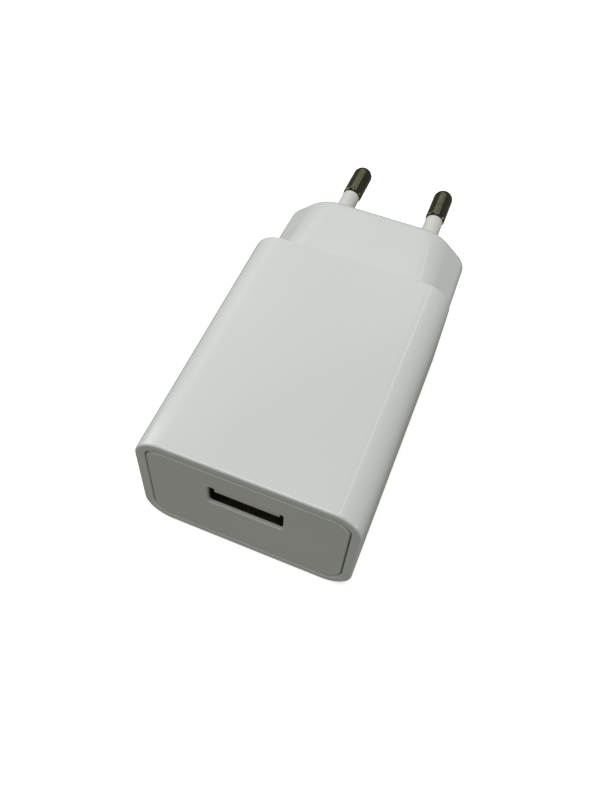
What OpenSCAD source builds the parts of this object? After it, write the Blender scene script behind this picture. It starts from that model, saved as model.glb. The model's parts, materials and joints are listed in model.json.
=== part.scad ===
// USB wall charger with a two-pin European plug.
// The charger lies on its broad side: X across, Y from the USB face (-Y) to the pins (+Y), Z up.
// The origin is in the middle of the whole length, on the face that it lies on.

/* [Case] */
// Width of the case across the USB face
case_w = 37.4; // [36:0.1:42]
// Height of the case, broad side to broad side
case_h = 24.4; // [23.6:0.1:27]
// Length of the case from the USB face to the step
case_l = 48; // [48:0.5:56]
// Radius of the four long edges of the case
case_r = 5; // [4:0.1:6]
// Thickness of the case walls
wall = 1.7; // [1.5:0.1:1.9]

/* [Plug nose] */
// Length of the nose from the step to the pin face
nose_l = 19.3; // [19:0.1:22]
// Width of the nose at the step, half way up
nose_w = 37; // [36.6:0.1:37.2]
// Width of the nose at the pin face, half way up
nose_end_w = 36.2; // [35.8:0.1:36.4]
// Height of the nose over its flat faces
nose_h = 14.8; // [14.4:0.1:15.4]
// Width of the flat face on the top and bottom of the nose, at the step
nose_flat_w = 27.8; // [26.5:0.1:28.5]
// Width of that flat face at the pin face
nose_flat_end_w = 23.6; // [23:0.1:25]
// Height of the upright flat on each side of the nose
nose_side_h = 2.9; // [2.6:0.1:3.4]

/* [Mains pins] */
// Distance between the pin centres at the pin face
pin_pitch = 18.6; // [18:0.1:19.2]
// Distance between the pin centres at the tips
pin_tip_pitch = 18; // [17.4:0.1:18.4]
// Diameter of the bare metal end
pin_d = 4; // [3.94:0.01:4.06]
// Length of a pin outside the case
pin_l = 18.6; // [18.5:0.1:19.5]
// Length of the insulating sleeve outside the case
sleeve_l = 10; // [9:0.1:10]
// Diameter of the insulating sleeve
sleeve_d = 3.6; // [3.5:0.05:3.65]

/* [USB port] */
// Height of the port centre above the face that the charger lies on
port_z = 15.2; // [15:0.1:15.6]
// Width inside the port
port_w = 12.5; // [12.4:0.05:12.6]
// Height inside the port
port_h = 5.12; // [5:0.02:5.2]
// Depth of the port's lip in the front panel
lip_t = 0.65; // [0.5:0.05:0.8]
// Length of the steel shell
shell_l = 14; // [13.5:0.1:14.5]

/* [Circuit board] */
// Thickness of the board
board_t = 1.6; // [1.2:0.1:1.6]
// Width of the board in the case
board_w = 32.6; // [31:0.1:32.6]
// Width of the board in the nose
board_nose_w = 24; // [20:0.5:24]

/* [Hidden] */

$fn = 64;
cut = 0.5;                               // how far a cutter runs past a face
mid_z = case_h / 2;
nose_y = case_l + nose_l;                // pin face, measured from the USB face
front_y = -(nose_y + pin_l) / 2;         // USB face in the part's own frame

// Case
inner_w = case_w - 2 * wall;
inner_h = case_h - 2 * wall;
inner_r = case_r - wall;
step_wall = 2;
pin_wall = 2.2;
nose_crease_r = 4.6;                     // at the step
nose_crease_end_r = 8;                   // at the pin face
nose_side_r = 3;
nose_corner_r = 1.4;                     // around the pin face, seen from above
nose_edge_r = 1.9;                       // around the pin face, seen from the side
nose_rings = [0, 0.38, 0.71, 0.92, 1];   // sections around the rounded end
slice = 0.01;
edge_steps = 6;
panel_t = 1.8;
panel_gap = 0.1;
panel_w = inner_w - 2 * panel_gap;
panel_h = inner_h - 2 * panel_gap;
panel_r = inner_r - panel_gap;
skirt_t = 1.1;
skirt_l = 6;
snap_y = 4.4;
snap_l = 9;
snap_d = 0.5;
snap_gap = 0.1;
rail_h = 1.2;
rail_t = 1.1;
rail_from = 8;
rail_to = 45;
rail_gap = 0.1;

// Mains pins
pin_tilt = atan((pin_pitch - pin_tip_pitch) / 2 / pin_l);
core_d = 2.9;
pin_tip_r = 1.75;
pin_bevel = 0.35;
collar_d = 5.4;
collar_t = 1.4;
tail_d = 2.4;
tail_l = 7.5;                            // how far a pin reaches behind the pin face
tail_end = nose_y - tail_l;
sleeve_fit = 0.02;
tail_fit = 0.05;
retainer_t = 2.4;
retainer_w = 24;
retainer_h = 8;
contact_t = 0.5;
contact_w = 3.2;
contact_gap = 0.03;
contact_foot_l = 4;
contact_over = 1.4;                      // how far a leaf reaches above its pin's centre

// Board, with its top face at the bottom of the USB shell
shell_t = 0.3;
board_top = port_z - port_h / 2 - shell_t;
board_bottom = board_top - board_t;
board_from = panel_t + 0.4;
board_step = case_l - step_wall - 0.5;
board_to = nose_y - 10.5;
hole_gap = 0.15;
solder_l = 0.8;

// Transformer
trafo_y = 24.5;
core_w = 14;
core_l = 13;
core_h = 5.6;
core_back = 2.4;
core_leg = 2.2;
core_mid = 4.4;
bobbin_wall = 0.7;
flange_t = 0.8;
coil_t = 1;
tape_t = 0.15;
flange_h = 9.8;
flange_w = 9.4;
coil_r = 0.3;
rail_rest = 1.8;
trafo_z = board_top + rail_rest + core_h / 2 + 0.35;
window_l = core_l - 2 * core_back;
trafo_gap = 0.05;
coil_l = window_l - 2 * flange_t - 4 * trafo_gap;
trafo_pin_d = 0.6;
trafo_pin_pitch = 3.2;
trafo_pin_y = core_l / 2 - 1.2;
trafo_pin_x = [for (i = [0 : 3]) (i - 1.5) * trafo_pin_pitch];

// Other parts on the board: [x, y] of each, y from the USB face
fuse_at = [0, 52.5];
varistor_at = [12.5, 39.5];
choke_at = [-9.5, 40.5];
bridge_at = [0, 42];
input_x = 9;
input_from = 22;
input_d = 8;
input_l = 13;
chip_at = [0, 33];
y_cap_at = [12.2, 24.5];
diode_at = [-9, 8];
output_x = 11.6;
output_from = 3.6;
output_d = 6.3;
output_l = 8.6;
lead_d = 0.6;
disc_d = 7;
varistor_t = 3.4;
y_cap_t = 3;
can_lead_y = 1.2;                        // how far behind its can a lead turns into the board
film_w = 28;
film_h = 10;
film_t = 0.3;
film_gap = 0.9;                          // between the USB shell and the film
gap_slot_x = -3;                         // slot under the transformer, between mains and low voltage
gap_slot_w = 22;
gap_slot_t = 1.2;

// Half the distance between the two leads of each part
fuse_reach = 6.2;
varistor_reach = 2.5;
choke_reach = 1.25;
y_cap_reach = 3.2;
input_reach = 1.75;
output_reach = 1.25;

// Where leads go through the board: [x, y] for each lead
fuse_leads = [for (s = [-1, 1]) fuse_at + [s * fuse_reach, 0]];
varistor_leads = [for (s = [-1, 1]) varistor_at + [0, s * varistor_reach]];
choke_leads = [for (s = [-1, 1]) choke_at + [s * choke_reach, 0]];
y_cap_leads = [for (s = [-1, 1]) y_cap_at + [0, s * y_cap_reach]];
input_leads = [for (s = [-1, 1], t = [-1, 1])
    [s * input_x + t * input_reach, input_from + input_l + can_lead_y]];
output_leads = [for (s = [-1, 1], t = [-1, 1])
    [s * output_x + t * output_reach, output_from + output_l + can_lead_y]];
trafo_leads = [for (x = trafo_pin_x, s = [-1, 1]) [x, trafo_y + s * trafo_pin_y]];

// USB socket
shell_w = port_w + 2 * shell_t;
shell_h = port_h + 2 * shell_t;
port_r = 0.6;
tongue_w = 11.1;
tongue_t = 1.84;
tongue_top = port_z + port_h / 2 - 0.66;
tongue_tip = 0.75;
tongue_z = tongue_top - tongue_t;        // the side that carries the contacts
block_l = 4.2;
block_from = shell_l + lip_t - block_l;
tongue_fit = 0.04;
contact_x = [-3.5, -1, 1, 3.5];
finger_w = 1;
finger_t = 0.25;
finger_root = block_from - 0.1;
finger_tip = 2.6;
finger_bow = 0.45;
slot_w = 1.3;
slot_h = 1.25;
slot_end = 1.6;
root_z = tongue_z + 0.3;
tail_from = finger_root + 0.05;
tail_inset = 1.6;                        // from the back of the shell to the contacts' tails
tail_y = lip_t + shell_l - tail_inset;
tail_hole_d = 1.3;
bow_y = 4.2;                             // where the contacts bow furthest from the tongue
tab_x = 3.2;                             // spring tabs of the shell, and the windows around them
tab_w = 2.2;
tab_dip = 0.45;
tab_gap = 0.3;
tab_from = 5.3;
tab_to = 10.2;
tail_window = [9, 5];                    // opening in the shell's floor around the contacts' tails
leg_y = 10.5;
leg_l = 1;

// ---- shared shapes ----

// Moves a shape drawn with Y from the USB face into the part's own frame
module from_front() translate([0, front_y, 0]) children();

// Extrudes an X-Z outline along Y
module along_y(from, length)
    translate([0, from + length, 0]) rotate([90, 0, 0]) linear_extrude(height = length) children();

// Extrudes a Y-Z outline along X, centred
module along_x(length)
    translate([-length / 2, 0, 0]) rotate([90, 0, 90]) linear_extrude(height = length) children();

module box_at(x, y, z, sx, sy, sz) translate([x - sx / 2, y, z]) cube([sx, sy, sz]);

module rounded_rect(w, h, r) {
    square([w - 2 * r, h], center = true);
    square([w, h - 2 * r], center = true);
    for (x = [-1, 1], y = [-1, 1]) translate([x * (w / 2 - r), y * (h / 2 - r)]) circle(r);
}

// The points of one rounded corner: a is the corner before it and c the one after
function corner(a, b, c, r) =
    let (to_a = (a - b) / norm(a - b), to_c = (c - b) / norm(c - b),
        half = acos(to_a * to_c) / 2,
        mid = (to_a + to_c) / norm(to_a + to_c),
        centre = b + mid * r / sin(half),
        sweep = 90 - half)
    [for (i = [0 : edge_steps])
        let (t = -sweep + 2 * sweep * i / edge_steps,
            side = [-mid[1], mid[0]])
        centre - r * (mid * cos(t) + side * sin(t) * turn(a, b, c))];

function turn(a, b, c) = sign((b - a)[0] * (c - b)[1] - (b - a)[1] * (c - b)[0]);

function rounded_outline(points, radii) =
    let (n = len(points))
    [for (i = [0 : n - 1])
        each corner(points[(i + n - 1) % n], points[i], points[(i + 1) % n], radii[i])];

// The eight-sided section of the nose, its creases rounded; w and flat are half widths,
// h is half the height, crease is its radius and inset is the wall for the inside
module nose_section(w, flat, h, crease, inset) {
    slope = atan((nose_h - nose_side_h) / (nose_w - nose_flat_w));
    in_flat = flat - inset * tan(slope / 2);
    in_side = nose_side_h / 2 - inset * tan((90 - slope) / 2);
    quarter = [[w - inset, in_side], [in_flat, h - inset]];
    half = concat(quarter, [for (p = [quarter[1], quarter[0]]) [-p[0], p[1]]]);
    edge = nose_side_r - inset;
    radii = [edge, crease - inset, crease - inset, edge];
    polygon(rounded_outline(concat(half, -half), concat(radii, radii)));
}

// A thin slice of the nose at a distance from the step; u runs from 0 to 1 around the rounded end
module nose_slice(distance, u) {
    along = distance / nose_l;
    round_off = 1 - sqrt(1 - u * u);
    corner = nose_corner_r * round_off;
    w = (nose_w + (nose_end_w - nose_w) * along) / 2 - corner;
    flat = (nose_flat_w + (nose_flat_end_w - nose_flat_w) * along) / 2 - corner / 2;
    translate([0, 0, mid_z]) along_y(case_l + distance - slice, slice)
        nose_section(w, flat, nose_h / 2 - nose_edge_r * round_off,
            nose_crease_r + (nose_crease_end_r - nose_crease_r) * along, 0);
}

module nose_outside() hull() {
    nose_slice(-step_wall / 2, 0);
    for (u = nose_rings) nose_slice(nose_l - nose_edge_r * (1 - u), u);
}

module nose_inside() translate([0, 0, mid_z])
    along_y(case_l - step_wall - cut, nose_l - pin_wall + step_wall + cut)
        nose_section(nose_end_w / 2, nose_flat_end_w / 2, nose_h / 2, nose_crease_end_r, wall);

// Places a shape along a pin: its own Z runs out of the pin face, side is -1 left or 1 right
module on_pin(side)
    translate([side * pin_pitch / 2, nose_y, mid_z]) rotate([-90, 0, side * pin_tilt]) children();

// A wire lead: out of a part's end along Y, then up or down through the board
module bent_lead(x, y, from_y, z, to_z) {
    bottom = min(z, to_z);
    translate([x, min(y, from_y), z]) rotate([-90, 0, 0]) cylinder(d = lead_d, h = abs(from_y - y));
    translate([x, y, z]) sphere(d = lead_d);
    translate([x, y, bottom]) cylinder(d = lead_d, h = abs(to_z - z));
}

// ---- case ----

module housing() color("white") from_front() difference() {
    union() {
        along_y(0, case_l) translate([0, mid_z]) rounded_rect(case_w, case_h, case_r);
        nose_outside();
    }
    difference() {
        along_y(-cut, case_l - step_wall + cut) translate([0, mid_z])
            rounded_rect(inner_w, inner_h, inner_r);
        board_rails();
    }
    nose_inside();
    for (side = [-1, 1]) on_pin(side) translate([0, 0, -pin_wall - 1])
        cylinder(d = sleeve_d + 2 * sleeve_fit, h = pin_wall + 1 + cut);
    for (top = [-1, 1]) panel_snap(top, snap_gap);
}

// Ribs along both side walls that hold the board's edges
module board_rails() for (x = [-1, 1], z = [board_top + rail_gap, board_bottom - rail_gap - rail_h])
    box_at(x * (inner_w / 2 - rail_t / 2 + cut / 2), rail_from, z, rail_t + cut,
        rail_to - rail_from, rail_h);

// The catch on the panel's top or bottom skirt, or its pocket in the case when grown
module panel_snap(side, grow) translate([0, snap_y, mid_z + side * panel_h / 2])
    rotate([45, 0, 0]) cube([snap_l + 2 * grow, snap_d + grow, snap_d + grow], center = true);

module front_panel() color("white") from_front() difference() {
    union() {
        along_y(0, skirt_l) translate([0, mid_z]) rounded_rect(panel_w, panel_h, panel_r);
        for (top = [-1, 1]) panel_snap(top, 0);
    }
    along_y(panel_t, skirt_l) translate([0, mid_z])
        rounded_rect(panel_w - 2 * skirt_t, panel_h - 2 * skirt_t, panel_r - skirt_t);
    along_y(-cut, panel_t + 2 * cut) translate([0, port_z])
        rounded_rect(port_w + 0.4, port_h + 0.1, port_r);
    along_y(lip_t, panel_t) translate([0, port_z])
        rounded_rect(shell_w + 0.2, shell_h + 0.2, port_r + shell_t);
    box_at(0, board_from - 0.3, board_bottom - 0.2, panel_w + 2, skirt_l, board_t + 0.4);
}

// ---- mains pins ----

module mains_pin(side) color("silver") from_front() on_pin(side) rotate_extrude() polygon(concat(
    [[0, -tail_l], [tail_d / 2, -tail_l], [tail_d / 2, -pin_wall - 2 * collar_t],
        [collar_d / 2, -pin_wall - 2 * collar_t], [collar_d / 2, -pin_wall - collar_t],
        [core_d / 2, -pin_wall - collar_t], [core_d / 2, sleeve_l],
        [pin_d / 2 - pin_bevel, sleeve_l], [pin_d / 2, sleeve_l + pin_bevel]],
    [for (i = [0 : edge_steps]) let (a = 90 * i / edge_steps)
        [pin_d / 2 - pin_tip_r + pin_tip_r * cos(a), pin_l - pin_tip_r + pin_tip_r * sin(a)]],
    [[0, pin_l]]));
module pin_left() mains_pin(-1);
module pin_right() mains_pin(1);

module pin_sleeve(side) color("white") from_front() on_pin(side) rotate_extrude() polygon([
    [core_d / 2 + sleeve_fit, -pin_wall - collar_t], [collar_d / 2, -pin_wall - collar_t],
    [collar_d / 2, -pin_wall - 0.05], [sleeve_d / 2, -pin_wall - 0.05], [sleeve_d / 2, sleeve_l],
    [core_d / 2 + sleeve_fit, sleeve_l]]);
module pin_sleeve_left() pin_sleeve(-1);
module pin_sleeve_right() pin_sleeve(1);

// Block behind the collars that takes the push when the charger is plugged in
module pin_retainer() color("whitesmoke") from_front() difference() {
    back = nose_y - pin_wall - 2 * collar_t - 0.1;
    along_y(back - retainer_t, retainer_t) translate([0, mid_z]) rounded_rect(retainer_w, retainer_h, 1);
    for (side = [-1, 1]) on_pin(side) translate([0, 0, -tail_l - cut])
        cylinder(d = tail_d + 2 * tail_fit, h = tail_l + cut);
}

// Leaf that joins a pin's tail to the board
module mains_contact(side) color("goldenrod") from_front() {
    x = side * (pin_pitch / 2 + tan(pin_tilt) * tail_l);
    face = tail_end - contact_gap;
    foot = board_to - contact_foot_l;
    box_at(x, foot, board_top, contact_w, face - foot, contact_t);
    box_at(x, face - contact_t, board_top, contact_w, contact_t,
        mid_z - board_top + contact_over);
}
module mains_contact_left() mains_contact(-1);
module mains_contact_right() mains_contact(1);

// ---- board and the parts on it ----

module main_board() color("seagreen") from_front() difference() {
    translate([0, 0, board_bottom]) linear_extrude(height = board_t) {
        translate([-board_w / 2, board_from]) square([board_w, board_step - board_from]);
        translate([-board_nose_w / 2, board_from]) square([board_nose_w, board_to - board_from]);
    }
    for (at = concat(fuse_leads, varistor_leads, choke_leads, y_cap_leads, input_leads,
        output_leads, trafo_leads)) board_hole(at, lead_d + 2 * hole_gap);
    for (x = contact_x) board_hole([x, tail_y + finger_t / 2], tail_hole_d);
    for (s = [-1, 1]) board_hole([s * (shell_w - shell_t) / 2, leg_y + leg_l / 2], tail_hole_d);
    box_at(gap_slot_x, trafo_y - gap_slot_t / 2, board_bottom - cut, gap_slot_w, gap_slot_t,
        board_t + 2 * cut);
}

module board_hole(at, d)
    translate([at[0], at[1], board_bottom - cut]) cylinder(d = d, h = board_t + 2 * cut);

// A straight lead from a part down through the board
module straight_lead(at, top) translate([at[0], at[1], board_bottom - solder_l])
    cylinder(d = lead_d, h = top - board_bottom + solder_l);

module fuse_resistor() color("green") from_front() {
    z = board_top + 1.8;
    half = 4;
    cap_r = 1.6;
    cap_l = 1.8;
    waist_r = 1.35;
    ease = 0.4;
    end = [[cap_r - ease, half], [cap_r, half - ease], [cap_r, half - cap_l],
        [waist_r, half - cap_l - cap_r + waist_r]];
    translate([0, fuse_at[1], z]) rotate([0, 90, 0]) rotate_extrude() polygon(concat(
        [[0, fuse_reach], [lead_d / 2, fuse_reach], [lead_d / 2, half]], end,
        [for (i = [3 : -1 : 0]) [end[i][0], -end[i][1]]],
        [[lead_d / 2, -half], [lead_d / 2, -fuse_reach], [0, -fuse_reach]]));
    for (at = fuse_leads) {
        translate([at[0], at[1], z]) sphere(d = lead_d);
        straight_lead(at, z);
    }
}

// A disc part that stands on two leads, its flat sides facing left and right
module disc_part(at, leads, thickness) {
    z = board_top + 0.8 + disc_d / 2;
    translate([at[0] - thickness / 2, at[1], z]) rotate([0, 90, 0]) cylinder(d = disc_d, h = thickness);
    for (lead = leads) straight_lead(lead, z);
}
module varistor() color("royalblue") from_front() disc_part(varistor_at, varistor_leads, varistor_t);
module y_capacitor() color("steelblue") from_front() disc_part(y_cap_at, y_cap_leads, y_cap_t);

module filter_choke() color("dimgray") from_front() {
    drum_r = 3;
    drum_h = 7.2;
    rim = 0.8;
    waist = 0.4;
    translate([choke_at[0], choke_at[1], board_top + 0.1]) rotate_extrude() polygon([
        [0, 0], [drum_r, 0], [drum_r, rim], [drum_r - waist, rim + waist],
        [drum_r - waist, drum_h - rim - waist], [drum_r, drum_h - rim], [drum_r, drum_h], [0, drum_h]]);
    for (at = choke_leads) straight_lead(at, board_top + 1);
}

// An electrolytic capacitor lying along Y: a can with its crimped groove, and two leads
module lying_can(x, from, d, length, z, leads, lead_z) {
    r = d / 2;
    ease = 0.3;
    groove = length - 1.35;
    translate([x, from, z]) rotate([-90, 0, 0]) rotate_extrude() polygon([
        [0, 0], [r - ease, 0], [r, ease], [r, groove - 1.5 * ease], [r - ease, groove - ease / 2],
        [r - ease, groove + ease / 2], [r, groove + 1.5 * ease], [r, length - ease], [r - ease, length],
        [0, length]]);
    for (at = leads) bent_lead(at[0], at[1], from + length - 0.2, z, lead_z);
}
module input_capacitor(i) color("black") from_front()
    lying_can((2 * i - 3) * input_x, input_from, input_d, input_l,
        board_bottom - 0.3 - input_d / 2, [for (k = [0, 1]) input_leads[2 * i - 2 + k]],
        board_top + solder_l);
module input_capacitor_1() input_capacitor(1);
module input_capacitor_2() input_capacitor(2);
module output_capacitor(i) color("darkslategray") from_front()
    lying_can((2 * i - 3) * output_x, output_from, output_d, output_l,
        board_top + 0.1 + output_d / 2, [for (k = [0, 1]) output_leads[2 * i - 2 + k]],
        board_bottom - solder_l);
module output_capacitor_1() output_capacitor(1);
module output_capacitor_2() output_capacitor(2);

// A moulded part under the board: a body and a row of flat leads along each long side
module moulded_part(at, w, l, h, leads, lead_w, reach) {
    top = board_bottom - 0.1;
    box_at(at[0], at[1] - l / 2, top - h, w, l, h);
    pitch = l / leads;
    for (s = [-1, 1], i = [0 : leads - 1]) {
        y = at[1] - l / 2 + pitch * (i + 0.5) - lead_w / 2;
        x = at[0] + s * (w / 2 + reach / 2);
        box_at(x - s * 0.1, y, board_bottom - 0.2, reach + 0.2, lead_w, 0.2);
    }
}
module bridge_rectifier() color("black") from_front() 
    moulded_part(bridge_at, w = 3.9, l = 4.7, h = 2.4, leads = 2, lead_w = 0.7, reach = 1.2);
module controller_chip() color("black") from_front() 
    moulded_part(chip_at, w = 3.9, l = 4.9, h = 1.5, leads = 4, lead_w = 0.42, reach = 1);
module output_diode() color("black") from_front() 
    moulded_part(diode_at, w = 4.4, l = 3.6, h = 2.2, leads = 1, lead_w = 2, reach = 0.9);

// Small chip resistors and capacitors under the board
module chip_parts() color("tan") from_front()
    for (at = [for (y = [16.2, 37.8], x = [-3, 0, 3]) [x, y], for (y = [26.8, 48.5], x = [-2, 2]) [x, y]])
        box_at(at[0], at[1] - 0.6, board_bottom - 0.6, 2, 1.2, 0.6);

// Film that stands between the transformer and the USB socket
module insulation_sheet() color("khaki") from_front()
    box_at(0, lip_t + shell_l + film_gap, board_top, film_w, film_t, film_h);

// ---- transformer ----

// One half of the core: a back and three legs that point to the middle
module core_half(s) color("dimgray") from_front() translate([0, trafo_y, trafo_z - core_h / 2])
    linear_extrude(height = core_h) mirror([0, s > 0 ? 0 : 1]) {
        half = core_l / 2;
        translate([-core_w / 2, half - core_back]) square([core_w, core_back]);
        for (x = [-1, 1]) translate([x * (core_w - core_leg) / 2 - core_leg / 2, trafo_gap / 2])
            square([core_leg, half - trafo_gap / 2]);
        translate([-core_mid / 2, trafo_gap / 2]) square([core_mid, half - trafo_gap / 2]);
    }
module transformer_core_front() core_half(-1);
module transformer_core_rear() core_half(1);

// A rectangular ring around the middle leg; grow is its distance from the leg
module ring_on_leg(length, grow, thickness, r) translate([0, 0, trafo_z])
    along_y(trafo_y - length / 2, length) difference() {
        outer = grow + thickness;
        rounded_rect(core_mid + 2 * outer, core_h + 2 * outer, r + thickness);
        rounded_rect(core_mid + 2 * grow, core_h + 2 * grow, r);
    }

module transformer_bobbin() color("ivory") from_front() difference() {
    inside = window_l - 2 * trafo_gap;
    union() {
        ring_on_leg(inside, trafo_gap, bobbin_wall, trafo_gap);
        for (s = [-1, 1]) {
            flange = trafo_y + s * (inside - flange_t) / 2;
            rail = trafo_y + s * (core_l / 2 - core_back / 2 - 0.4);
            difference() {
                box_at(0, flange - flange_t / 2, trafo_z - flange_h / 2, flange_w, flange_t, flange_h);
                box_at(0, flange - flange_t, trafo_z - core_h / 2 - trafo_gap, core_mid + 2 * trafo_gap,
                    2 * flange_t, core_h + 2 * trafo_gap);
            }
            box_at(0, rail - 1.6, board_top + 0.05, core_w - 1, 3.2, rail_rest);
        }
    }
    for (at = trafo_leads) translate([at[0], at[1], board_top - cut])
        cylinder(d = trafo_pin_d + 0.04, h = cut + 1.3);
}

module transformer_pins() color("silver") from_front() for (at = trafo_leads)
    translate([at[0], at[1], board_bottom - solder_l])
        cylinder(d = trafo_pin_d, h = board_t + solder_l + 1.2);

module transformer_winding() color("peru") from_front()
    ring_on_leg(coil_l, bobbin_wall + 2 * trafo_gap, coil_t, coil_r);
module transformer_tape() color("gold") from_front()
    ring_on_leg(coil_l, bobbin_wall + coil_t + 3 * trafo_gap, tape_t, coil_r + coil_t);

// ---- USB socket ----

module usb_shell() color("silver") from_front() {
    from = lip_t + 0.05;
    inner_top = port_z + port_h / 2;
    inner_bottom = port_z - port_h / 2;
    difference() {
        along_y(from, shell_l) translate([0, port_z]) difference() {
            rounded_rect(shell_w, shell_h, port_r + shell_t);
            rounded_rect(port_w, port_h, port_r);
        }
        for (x = [-1, 1]) box_at(x * tab_x, tab_from - tab_gap, inner_bottom - 1, tab_w + 2 * tab_gap,
            tab_to - tab_from + tab_gap - 0.2, port_h + 2);
        box_at(0, tail_y - 0.6, inner_bottom - 1, tail_window[0], tail_window[1], 2);
    }
    for (x = [-1, 1]) translate([x * tab_x, 0, 0]) {
        along_x(tab_w) shell_tab(inner_top, 1);
        along_x(tab_w) shell_tab(inner_bottom, -1);
    }
    for (x = [-1, 1]) box_at(x * (shell_w - shell_t) / 2, leg_y, board_bottom - solder_l, shell_t, leg_l,
        port_z - board_bottom + solder_l);
}

// A spring tab cut from the shell, bent in towards the plug; out is the shell's outer side
module shell_tab(z, out) polygon([[tab_to, z], [tab_to, z + out * shell_t],
    [tab_from, z + out * (shell_t - tab_dip)], [tab_from, z - out * tab_dip]]);

module usb_insulator() color("white") from_front() difference() {
    union() {
        along_y(block_from, block_l) translate([0, port_z])
            rounded_rect(port_w - 2 * tongue_fit, port_h - 2 * tongue_fit, port_r);
        box_at(0, tongue_tip, tongue_z, tongue_w, block_from - tongue_tip + cut, tongue_t);
    }
    for (x = contact_x) {
        box_at(x, slot_end, tongue_z - cut, slot_w, block_from - slot_end, slot_h + cut);
        box_at(x, block_from - cut, root_z - 0.02, finger_w + 0.04, tail_y + finger_t + cut - block_from
            + 0.02, finger_t + 0.04);
        box_at(x, tail_y - 0.02, port_z - port_h, finger_w + 0.04, finger_t + 0.04,
            root_z - port_z + port_h + 0.1);
    }
}

// The fixed end of each contact: back through the insulator and down into the board
module usb_contact_tails() color("gold") from_front() for (x = contact_x) translate([x, 0, 0])
    along_x(finger_w) polygon([[tail_from, root_z], [tail_y, root_z], [tail_y, board_bottom - solder_l],
        [tail_y + finger_t, board_bottom - solder_l], [tail_y + finger_t, root_z + finger_t],
        [tail_from, root_z + finger_t]]);

// The springy end of one contact, bowed below the tongue
module contact_finger(i) color("gold") from_front() translate([contact_x[i - 1], 0, 0]) along_x(finger_w) {
    bow_z = tongue_z - finger_bow;
    line = [[finger_root, root_z], [finger_root - 2.35, root_z - 0.15], [bow_y + 0.7, bow_z + 0.1],
        [bow_y, bow_z], [bow_y - 0.6, bow_z + 0.12], [finger_tip, tongue_z + 0.35]];
    n = len(line);
    polygon(concat(line, [for (k = [0 : n - 1]) line[n - 1 - k] + [0, finger_t]]));
}
module usb_contact_1() contact_finger(1);
module usb_contact_2() contact_finger(2);
module usb_contact_3() contact_finger(3);
module usb_contact_4() contact_finger(4);

housing();
front_panel();
pin_left();
pin_right();
pin_sleeve_left();
pin_sleeve_right();
pin_retainer();
mains_contact_left();
mains_contact_right();
main_board();
fuse_resistor();
varistor();
filter_choke();
bridge_rectifier();
input_capacitor_1();
input_capacitor_2();
controller_chip();
transformer_core_front();
transformer_core_rear();
transformer_bobbin();
transformer_pins();
transformer_winding();
transformer_tape();
y_capacitor();
output_diode();
output_capacitor_1();
output_capacitor_2();
chip_parts();
insulation_sheet();
usb_shell();
usb_insulator();
usb_contact_tails();
usb_contact_1();
usb_contact_2();
usb_contact_3();
usb_contact_4();
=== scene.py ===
import json
import math

import bmesh
import bpy
from mathutils import Matrix, Quaternion, Vector
from mathutils.geometry import tessellate_polygon


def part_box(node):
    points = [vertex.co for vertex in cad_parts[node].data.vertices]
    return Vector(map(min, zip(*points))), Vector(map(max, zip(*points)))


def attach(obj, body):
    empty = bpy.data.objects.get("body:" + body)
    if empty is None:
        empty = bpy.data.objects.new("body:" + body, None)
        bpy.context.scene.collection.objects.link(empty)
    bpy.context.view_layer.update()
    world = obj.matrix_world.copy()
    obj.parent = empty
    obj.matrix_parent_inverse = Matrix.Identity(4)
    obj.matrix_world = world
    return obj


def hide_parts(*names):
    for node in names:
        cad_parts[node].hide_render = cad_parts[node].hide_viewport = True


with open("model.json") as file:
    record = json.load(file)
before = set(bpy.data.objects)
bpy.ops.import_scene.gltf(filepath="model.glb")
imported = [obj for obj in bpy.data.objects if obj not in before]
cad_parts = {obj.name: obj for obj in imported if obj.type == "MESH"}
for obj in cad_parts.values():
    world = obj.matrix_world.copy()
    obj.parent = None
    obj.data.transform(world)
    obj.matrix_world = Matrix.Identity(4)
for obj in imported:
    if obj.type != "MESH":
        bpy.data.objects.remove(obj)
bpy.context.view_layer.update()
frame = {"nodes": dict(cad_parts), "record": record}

MM = 0.001


# ---- sizes in millimetres, from the frame where it has them ----

def box_mm(node):
    low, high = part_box(node)
    return low / MM, high / MM


case_low, case_high = box_mm("housing")
panel_low, panel_high = box_mm("front_panel")
board_low, board_high = box_mm("main_board")
mounts = {mount["name"]: mount for mount in frame["record"]["mounts"]}

FRONT = case_low.y                # the USB face
PIN_FACE = case_high.y
CASE_W = case_high.x - case_low.x
CASE_H = case_high.z - case_low.z
CASE_R = 5
MID_Z = CASE_H / 2
STEP = PIN_FACE - 19.3            # where the case steps down to the nose
STEP_WALL = 2
PIN_WALL = 2.2
PANEL_W = panel_high.x - panel_low.x
PANEL_H = CASE_H - 3.6
PANEL_R = 3.2
PANEL_T = 1.8
PANEL_GAP = 0.1
PANEL_FIT = 0.08                  # how far the shown panel stands in from the drawn one, to show the seam
SKIRT_L = panel_high.y - panel_low.y
SKIRT_T = 1.1
SNAP_Y = 4.4                      # the catches on the skirt, from the USB face
SNAP_L = 9
SNAP_D = 0.5
SNAP_GAP = 0.1
RAIL_T = 1.1
RAIL_H = 1.2
RAIL_GAP = 0.1
RAIL_Y = (8, 45)

PORT_Z = mounts["usb_port"]["pos_m"][2] / MM
PORT_W = 12.9
PORT_H = 5.22
PORT_R = 0.6
LIP_T = 0.65

NOSE_H = 14.8
NOSE_W = (37, 36.2)               # at the step and at the pin face
NOSE_FLAT = (27.8, 23.6)
NOSE_SIDE_H = 2.9
NOSE_CREASE_R = (4.6, 8)          # the slanted faces blend more softly towards the pins
NOSE_SIDE_R = 3
NOSE_EDGE_R = 1.9                 # around the pin face, from the side and from above
NOSE_CORNER_R = 1.4
NOSE_WALL = 1.7

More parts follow.
